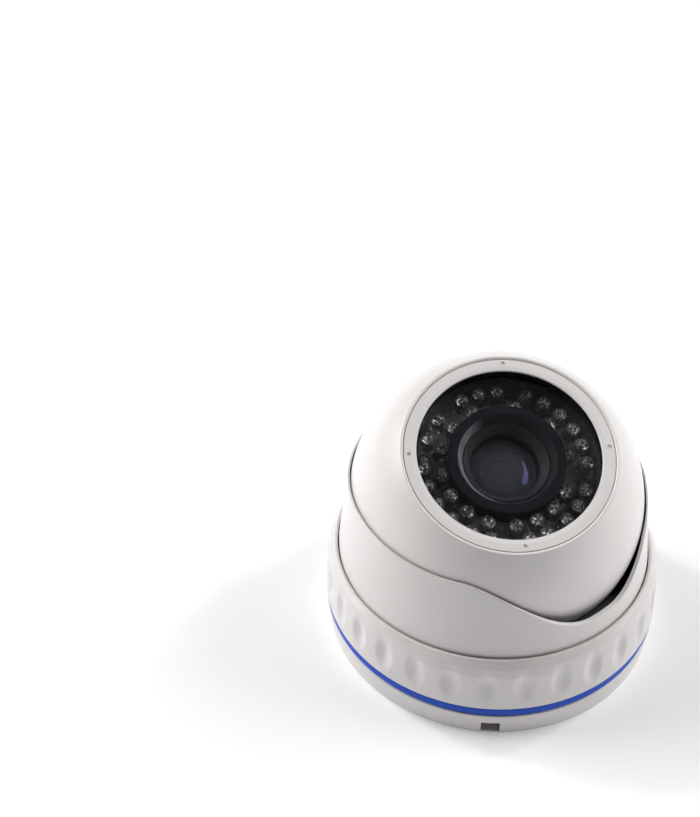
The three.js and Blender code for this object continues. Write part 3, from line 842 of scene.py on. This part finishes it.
# ---- ball shells ----
def make_front_shell():
    outline = rounded([
        *ball_arc(BALL, SHELL_SEAM + 0.2, 35.6, 64),
        (36.5, 36.55, 0.7),
        (36.0, 36.95, 0.4),
        (35.5, 36.95, 0.3),
        (35.05, 36.5, 0.2),
        (35.05, LEDGE_FRONT),
        (LEDGE, LEDGE_FRONT, 0.15),
        (LEDGE, LEDGE_BACK, 0.15),
        (39, LEDGE_BACK, 1),
        *ball_arc(BALL - WALL, 26.5, SHELL_SEAM, 24),
        (BALL - WALL + 0.4, SHELL_SEAM),
        (50.4, SHELL_SEAM, 0.1),
    ])
    shell = revolve(outline, 384)

    # Faces behind the bezel and inside the ledge take the near-black painted shade.
    def painted_shade_faces(p):
        behind_bezel = p.length < BALL - 0.8 and p.xy.length > 35.2
        return behind_bezel or p.z < LEDGE_FRONT - 0.1 and p.length < 50

    piece("ball_front", shell, WHITE, "ball", ["front_shell"], AIMED, inside=(SHADE_INSIDE, painted_shade_faces))


def make_rear_shell():
    outline = rounded([
        (GLAND_HOLE, BACK_FACE, 0.3),
        (42.5, BACK_FACE, 0.6),
        *ball_arc(BALL, BACK_FACE + 1, SHELL_SEAM - 1.4, 20),
        (50.2, SHELL_SEAM - 1.2, 0.1),
        *ball_arc(BALL - WALL, SHELL_SEAM - 1.2, BACK_FACE + WALL, 12),
        (GLAND_HOLE, BACK_FACE + WALL, 0.3),
    ])
    shell = revolve(outline, 256)
    boss = rounded([(0, BACK_FACE + 1), (3.2, BACK_FACE + 1), (3.2, -14.3, 0.3), (0, -14.3)])
    bosses = [moved(revolve(boss, 32), face_spot(BOSS_CIRCLE, angle)) for angle in POST_ANGLES]
    shell = carved(shell, bosses, "UNION")
    bore = [Vector(p) for p in ((0, BACK_FACE + 4), (1.25, BACK_FACE + 4), (1.25, -13), (0, -13))]
    holes = [moved(revolve(bore, 20), face_spot(BOSS_CIRCLE, angle)) for angle in POST_ANGLES]
    shell = carved(shell, holes)
    # Inside faces of the rear shell take the near-black painted shade.
    painted_shade_faces = (SHADE_INSIDE, lambda p: p.length < BALL - 0.8 and p.z > BACK_FACE + 1)
    piece("ball_rear", shell, WHITE, "ball", ["rear_shell"], AIMED, inside=painted_shade_faces)


def make_shell_gasket():
    outline = rounded([
        (48.7, SHELL_SEAM - 0.9, 0.1),
        (50.1, SHELL_SEAM - 0.9, 0.2),
        (50.1, SHELL_SEAM - 0.3, 0.2),
        (48.7, SHELL_SEAM - 0.3, 0.1),
    ])
    mesh = revolve(outline, 256)
    piece("shell_seal", mesh, RUBBER, "ball", ["shell_gasket"], AIMED)


def make_gland():
    grooves = []
    for i in range(4):
        foot = BACK_FACE + 0.9 + 1.3 * i
        grooves += [(5.9, foot, 0.1), (5.5, foot + 0.4, 0.1), (5.5, foot + 0.9, 0.1)]
    outline = rounded([
        (1.95, -31.6, 0.3),
        (7.2, -31.6, 0.6),
        (8.6, -30.6, 0.5),
        (8.6, BACK_FACE - 0.3, 0.2),
        (5.9, BACK_FACE - 0.3),
        *grooves,
        (5.9, -21, 0.3),
        (1.95, -21, 0.3),
    ])
    mesh = revolve(outline, 96)
    piece("gland_body", mesh, RUBBER, "gland", ["cable_gland"], AIMED)


# ---- face ----
def make_bezel():
    """A flat ring that dishes slightly towards its opening, with four spanner pits."""
    outline = rounded([
        (BEZEL_INNER, BEZEL_BACK, 0.1),
        (BEZEL_OUTER + 0.12, BEZEL_BACK, 0.1),
        (BEZEL_OUTER + 0.12, FACE - 0.02, 0.18),
        (BEZEL_INNER + 1.9, FACE, 2),
        (BEZEL_INNER + 0.4, FACE - 0.22, 0.2),
        (BEZEL_INNER + 0.3, FACE - 0.8, 0.1),
    ])
    ring = revolve(outline, 384)
    pit = rounded([(0, FACE - 0.45), (0.85, FACE - 0.45, 0.3), (0.85, FACE + 1), (0, FACE + 1)])
    pits = [moved(revolve(pit, 28), face_spot(PIT_CIRCLE, angle)) for angle in PIT_ANGLES]
    mesh = carved(ring, pits)
    inner_wall = (RUBBER, lambda p: p.xy.length < BEZEL_INNER + 0.4 and p.z < FACE - 0.7)
    piece("bezel", mesh, WHITE, "ball", ["bezel_ring"], AIMED, inside=inner_wall)


def make_glass():
    outline = rounded([
        (0, GLASS_BACK),
        (GLASS, GLASS_BACK, 0.25),
        (GLASS, GLASS_FRONT, 0.25),
        (0, GLASS_FRONT),
    ])
    mesh = revolve(outline, 128)
    piece("window", mesh, FACE_GLASS, "ball", ["front_glass"], AIMED)


def make_glass_gasket():
    outline = rounded([
        (LEDGE - 0.7, LEDGE_BACK - 0.4, 0.15),
        (LEDGE - 0.3, LEDGE_BACK - 0.4, 0.1),
        (LEDGE - 0.3, LEDGE_FRONT + 0.3),
        (34.3, LEDGE_FRONT + 0.3, 0.15),
        (34.3, GLASS_BACK - 0.3, 0.15),
        (LEDGE - 0.7, GLASS_BACK - 0.3, 0.3),
    ])
    mesh = revolve(outline, 192)
    piece("window_seal", mesh, RUBBER, "ball", ["glass_gasket"], AIMED)


def make_hood():
    outline = rounded([
        (HOOD_INNER, HOOD_FOOT, 0.1),
        (18, HOOD_FOOT, 0.2),
        (18.2, 21.2, 0.3),
        (HOOD, 21.9, 0.5),
        (HOOD, LED_TIP, 0.3),
        (HOOD + 0.8, LED_TIP + 0.7, 0.3),
        (HOOD + 0.8, HOOD_TOP, 0.5),
        (16.6, HOOD_TOP, 0.4),
        (16.2, HOOD_TOP - 0.5, 0.3),
        (HOOD_INNER + 0.1, 28.4, 0.5),
        (HOOD_INNER, 26, 0.3),
    ])
    mesh = revolve(outline, 192)
    # The hood's inner lip takes the rubber with the painted highlight on one side.
    lip = (RUBBER_HIGHLIGHT, lambda p: p.xy.length < 16.35 and p.z > 27)
    piece("hood", mesh, RUBBER, "ball", ["lens_hood"], AIMED, inside=lip)


# ---- infrared LEDs ----
def led_places():
    places = []
    for circle, runs in ((OUTER_CIRCLE, OUTER_RUNS), (INNER_CIRCLE, INNER_RUNS)):
        for start, step, count in runs:
            places += [(circle, start + step * i) for i in range(count)]
    return places


def make_led_board():
    outline = rounded([
        (BOARD_INNER, BOARD_BACK),
        (BOARD_OUTER, BOARD_BACK, 0.1),
        (BOARD_OUTER, BOARD_FRONT, 0.1),
        (BOARD_INNER, BOARD_FRONT),
    ])
    bore = [Vector(p) for p in ((0, BOARD_BACK - 1), (1.2, BOARD_BACK - 1), (1.2, 21), (0, 21))]
    holes = [moved(revolve(bore, 24), face_spot(OUTER_CIRCLE, angle)) for angle in POST_ANGLES]
    mesh = carved(revolve(outline, 192), holes)
    piece("led_ring_board", mesh, BOARD_BLACK, "ball", ["led_board"], AIMED)


def make_leds():
    foot = LED_FOOT + 0.05
    dome = [(LED * math.cos(a), LED_TIP - LED + LED * math.sin(a))
            for a in (math.radians(10 * i) for i in range(9))]
    outline = rounded([
        (0, foot),
        (LED + 0.25, foot, 0.12),
        (LED + 0.25, foot + 1, 0.12),
        (LED, foot + 1, 0.1),
        *dome,
        (0, LED_TIP),
    ])
    lamps = [moved(revolve(outline, 28), face_spot(*spot)) for spot in led_places()]
    mesh = merged(lamps)
    piece("led_lamps", mesh, EPOXY, "ball", ["ir_leds"], AIMED, sharp=40)


def make_led_frames():
    """The dished reflector, its die and the two posts inside each LED."""
    rim = LED_TIP - 1.75
    cup = rounded([
        (0, rim - 2.6),
        (1.5, rim - 2.6, 0.2),
        (2.2, rim - 0.3, 0.1),
        (2.3, rim, 0.08),
        (2.0, rim, 0.08),
        (1.0, rim - 1.2, 0.2),
        (0, rim - 1.3),
    ])
    parts = []
    for i, (circle, angle) in enumerate(led_places()):
        spot = face_spot(circle, angle) @ Matrix.Rotation(math.radians(37 * i), 4, "Z")
        parts.append(moved(revolve(cup, 14), spot))
        parts.append(moved(box_mesh(0.6, 0.6, 0.4, (0, 0, rim - 1.15)), spot))
        for side, width in ((0.3, 0.6), (-1.3, 0.5)):
            foot = BOARD_FRONT + 0.5
            post = box_mesh(width, 0.5, rim - 2.7 - foot, (side, 0, (rim - 2.7 + foot) / 2))
            parts.append(moved(post, spot))
    piece("led_frames", merged(parts), SILVER, "ball", place=AIMED, sharp=20)


def make_led_spacer():
    low = LED_FOOT
    outline = rounded([
        (19.2, low - 0.02),
        (30.8, low - 0.02),
        (30.8, low + 0.6, 0.2),
        (19.2, low + 0.6, 0.2),
    ])
    tools = [(circle, angle, LED + 0.2) for circle, angle in led_places()]
    tools += [(OUTER_CIRCLE, angle, 2.3) for angle in POST_ANGLES]
    tools.append((OUTER_CIRCLE, SENSOR_ANGLE, 2.5))
    holes = []
    for circle, angle, radius in tools:
        bore = [Vector(p) for p in ((0, low - 1), (radius, low - 1), (radius, low + 2), (0, low + 2))]
        holes.append(moved(revolve(bore, 24), face_spot(circle, angle)))
    plate = carved(revolve(outline, 160), holes)
    piece("led_spacer", plate, BOARD_BLACK, "ball", place=AIMED)


def make_light_sensor():
    outline = rounded([
        (0, LED_FOOT),
        (2.1, LED_FOOT, 0.1),
        (2.1, 21.2, 0.5),
        (1.3, 21.9, 0.5),
        (0, 22),
    ])
    mesh = moved(revolve(outline, 32), face_spot(OUTER_CIRCLE, SENSOR_ANGLE))
    piece("sensor_window", mesh, CHIP, "ball", ["light_sensor"], AIMED)


def make_led_screws():
    top = BOARD_FRONT + 1.6
    outline = rounded([
        (0, BOARD_BACK - 5),
        (0.85, BOARD_BACK - 5, 0.3),
        (0.85, BOARD_FRONT + 0.3),
        (1.9, BOARD_FRONT + 0.3, 0.1),
        (1.9, top - 0.5, 0.45),
        (1.1, top, 0.6),
        (0, top),
    ])
    for i, angle in enumerate(POST_ANGLES):
        spot = face_spot(OUTER_CIRCLE, angle)
        slots = [box_mesh(2.1, 0.4, 1.4, (0, 0, top), turn) for turn in (20, 110)]
        head = revolve(outline, 32)
        for slot in slots:
            head = carved(head, [slot])
        name = f"led_board_screw_{i + 1}"
        piece(f"cross_screw_{i + 1}", moved(head, spot), STEEL, "ball", [name], AIMED)


# ---- lens ----
def make_barrel():
    """The lens barrel, whose mouth is a shallow cone of fine turned ridges."""
    ridges = []
    for i in range(10):
        height = 28.3 - 0.3 * i
        radius = 14.1 - 0.2 * i
        ridges += [(radius + 0.1, height), (radius - 0.08, height - 0.12)]
    outline = rounded([
        (5.2, 6.3, 0.1),
        (9.5, 6.3),
        (9.5, 6.9),
        (13.2, 6.9, 0.2),
        (13.2, 20.3),
        (14.4, 20.3, 0.2),
        (14.4, 28.4, 0.2),
        *ridges,
        (12, 25.2, 0.2),
        (11.7, 24.9, 0.2),
        (11.7, 24.5),
        (12, 24.2),
        (12, 8),
        (5.2, 8, 0.1),
    ])
    mesh = revolve(outline, 160)
    piece("barrel", mesh, MOUTH, "ball", ["lens_barrel"], AIMED, sharp=25)


def make_lens_front():
    front = [(10.8 * math.sin(a), 21.6 + 1.8 * (math.cos(a) - math.cos(1.2)) / (1 - math.cos(1.2)))
             for a in (1.2 * (16 - i) / 16 for i in range(16))]
    outline = rounded([
        (0, 19.6),
        (8, 20.1, 1),
        (11.1, 21.0, 0.2),
        (11.1, 21.6, 0.2),
        *front,
        (0, 23.4),
    ])
    mesh = revolve(outline, 128)
    piece("objective", mesh, LENS_GLASS, "focus_lens", ["front_element"], AIMED, sharp=50)


def make_lens_cells():
    """The focus cell with its stepped baffle, and the zoom cell with its lens."""
    steps = []
    for i in range(6):
        radius = 10.2 - 0.9 * i
        height = 18.3 - 0.55 * i
        steps += [(radius, height, 0.08), (radius, height - 0.45, 0.08)]
    cell = rounded([
        (10.6, 13.6, 0.1),
        (11.7, 13.6, 0.1),
        (11.7, 21.8, 0.15),
        (11.3, 21.8, 0.1),
        (11.3, 18.4, 0.1),
        *steps,
        (5.2, 14.6, 0.1),
        (5.2, 13.9, 0.1),
    ])
    piece("focus_mount", revolve(cell, 128), MOUTH, "focus_lens", ["focus_cell"], AIMED)
    ring = rounded([
        (7.3, 9.2, 0.1),
        (11.7, 9.2, 0.1),
        (11.7, 11.9, 0.2),
        (9, 11.9, 0.2),
        (7.3, 11.3, 0.2),
    ])
    piece("zoom_mount", revolve(ring, 128), MOUTH, "zoom_lens", ["zoom_cell"], AIMED)
    lens = rounded([
        (0, 9.3),
        (4, 9.5),
        (7, 10.1, 0.1),
        (7, 11.1, 0.1),
        (6, 11.3),
        (4, 11.6),
        (2, 11.75),
        (0, 11.8),
    ])
    glass = revolve(lens, 96)
    piece("zoom_lens_glass", glass, LENS_GLASS, "zoom_lens", ["rear_element"], AIMED)


# ---- stage ----
def turned(x, y, z):
    """A place given as seen from the camera: x to the right, y away from it."""
    return Matrix.Rotation(math.radians(VIEW_AZIMUTH), 3, "Z") @ Vector((x, y, z))


def soft_light(name, place, aim, size, power, colour=(1, 1, 1)):
    data = bpy.data.lights.new(name, "AREA")
    data.shape = "RECTANGLE"
    data.size, data.size_y = size
    data.energy = power
    data.color = colour
    lamp = bpy.data.objects.new(name, data)
    bpy.context.scene.collection.objects.link(lamp)
    lamp.location = place
    lamp.rotation_euler = (Vector(aim) - place).to_track_quat("-Z", "Y").to_euler()


def make_floor():
    mesh = bmesh.new()
    bmesh.ops.create_grid(mesh, x_segments=8, y_segments=8, size=FLOOR_HALF_WIDTH)
    data = bpy.data.meshes.new("floor")
    mesh.to_mesh(data)
    mesh.free()
    data.materials.append(studio_floor())
    floor = bpy.data.objects.new("floor", data)
    bpy.context.scene.collection.objects.link(floor)


def make_world():
    """Soft pale surroundings, dim overhead and on the camera's side, with an even pale horizon."""
    world = bpy.data.worlds.new("studio")
    bpy.context.scene.world = world
    world.use_nodes = True
    tree = world.node_tree
    background = tree.nodes["Background"]

    def ramp(source, low, high, start, end):
        mapped = tree.nodes.new("ShaderNodeMapRange")
        for label, value in (("From Min", low), ("From Max", high), ("To Min", start), ("To Max", end)):
            mapped.inputs[label].default_value = value
        tree.links.new(source, mapped.inputs["Value"])
        return mapped.outputs["Result"]

    def maths(operation, first, second):
        made = tree.nodes.new("ShaderNodeMath")
        made.operation = operation
        tree.links.new(first, made.inputs[0])
        tree.links.new(second, made.inputs[1])
        return made.outputs[0]

    coordinates = tree.nodes.new("ShaderNodeTexCoord")
    facing = tree.nodes.new("ShaderNodeMapping")
    facing.inputs["Rotation"].default_value = (0, 0, math.radians(-VIEW_AZIMUTH))
    tree.links.new(coordinates.outputs["Generated"], facing.inputs["Vector"])
    split = tree.nodes.new("ShaderNodeSeparateXYZ")
    tree.links.new(facing.outputs["Vector"], split.inputs[0])
    overhead = ramp(split.outputs["Z"], 0.70, 0.93, 1.0, 0.15)
    behind = ramp(split.outputs["Y"], -0.45, 0.25, 0.06, 1.0)
    horizon = ramp(split.outputs["Z"], 0.02, 0.25, 0.7, 0.06)
    far = ramp(split.outputs["Y"], 0.35, 0.9, 1.0, 0.3)
    level = maths("MULTIPLY", far, maths("MULTIPLY", overhead, maths("MAXIMUM", behind, horizon)))
    tree.links.new(level, background.inputs["Color"])
    background.inputs["Strength"].default_value = WORLD_STRENGTH


def make_lights():
    """A large soft box on each side, and two small lamps for the glints on edges and domes."""
    centre = (0, 0, 0.03)
    soft_light("left_box", turned(-0.9, 0.2, 0.7), centre, SOFT_BOX, 11.6)
    soft_light("right_box", turned(0.9, 0.2, 0.7), centre, SOFT_BOX, 9.5)
    soft_light("left_glint", turned(-0.7, 0.35, 1.0), centre, GLINT_LAMP, 2.0)
    soft_light("right_glint", turned(0.75, 0.5, 0.9), centre, GLINT_LAMP, 1.5)


def make_camera():
    data = bpy.data.cameras.new("camera")
    data.sensor_width = SENSOR_WIDTH
    data.lens = CAMERA_LENS
    data.clip_start = 0.01
    data.clip_end = 100
    item = bpy.data.objects.new("camera", data)
    bpy.context.scene.collection.objects.link(item)
    heading = Matrix.Rotation(math.radians(-CAMERA_HEADING), 4, "Z")
    pitch = Matrix.Rotation(math.radians(90 + CAMERA_PITCH), 4, "X")
    roll = Matrix.Rotation(math.radians(CAMERA_ROLL), 4, "Z")
    item.matrix_world = Matrix.Translation(CAMERA_AT) @ heading @ pitch @ roll
    bpy.context.scene.camera = item


make_camera()
make_world()
make_lights()
make_floor()
bpy.context.scene.view_settings.view_transform = "Standard"

finish_cad_nodes()
make_base()
make_trim()
make_lock_ring()
make_shroud()
make_seat()
make_front_shell()
make_rear_shell()
make_shell_gasket()
make_gland()
make_bezel()
make_glass()
make_glass_gasket()
make_hood()
make_led_board()
make_leds()
make_led_frames()
make_led_spacer()
make_light_sensor()
make_led_screws()
make_barrel()
make_lens_front()
make_lens_cells()
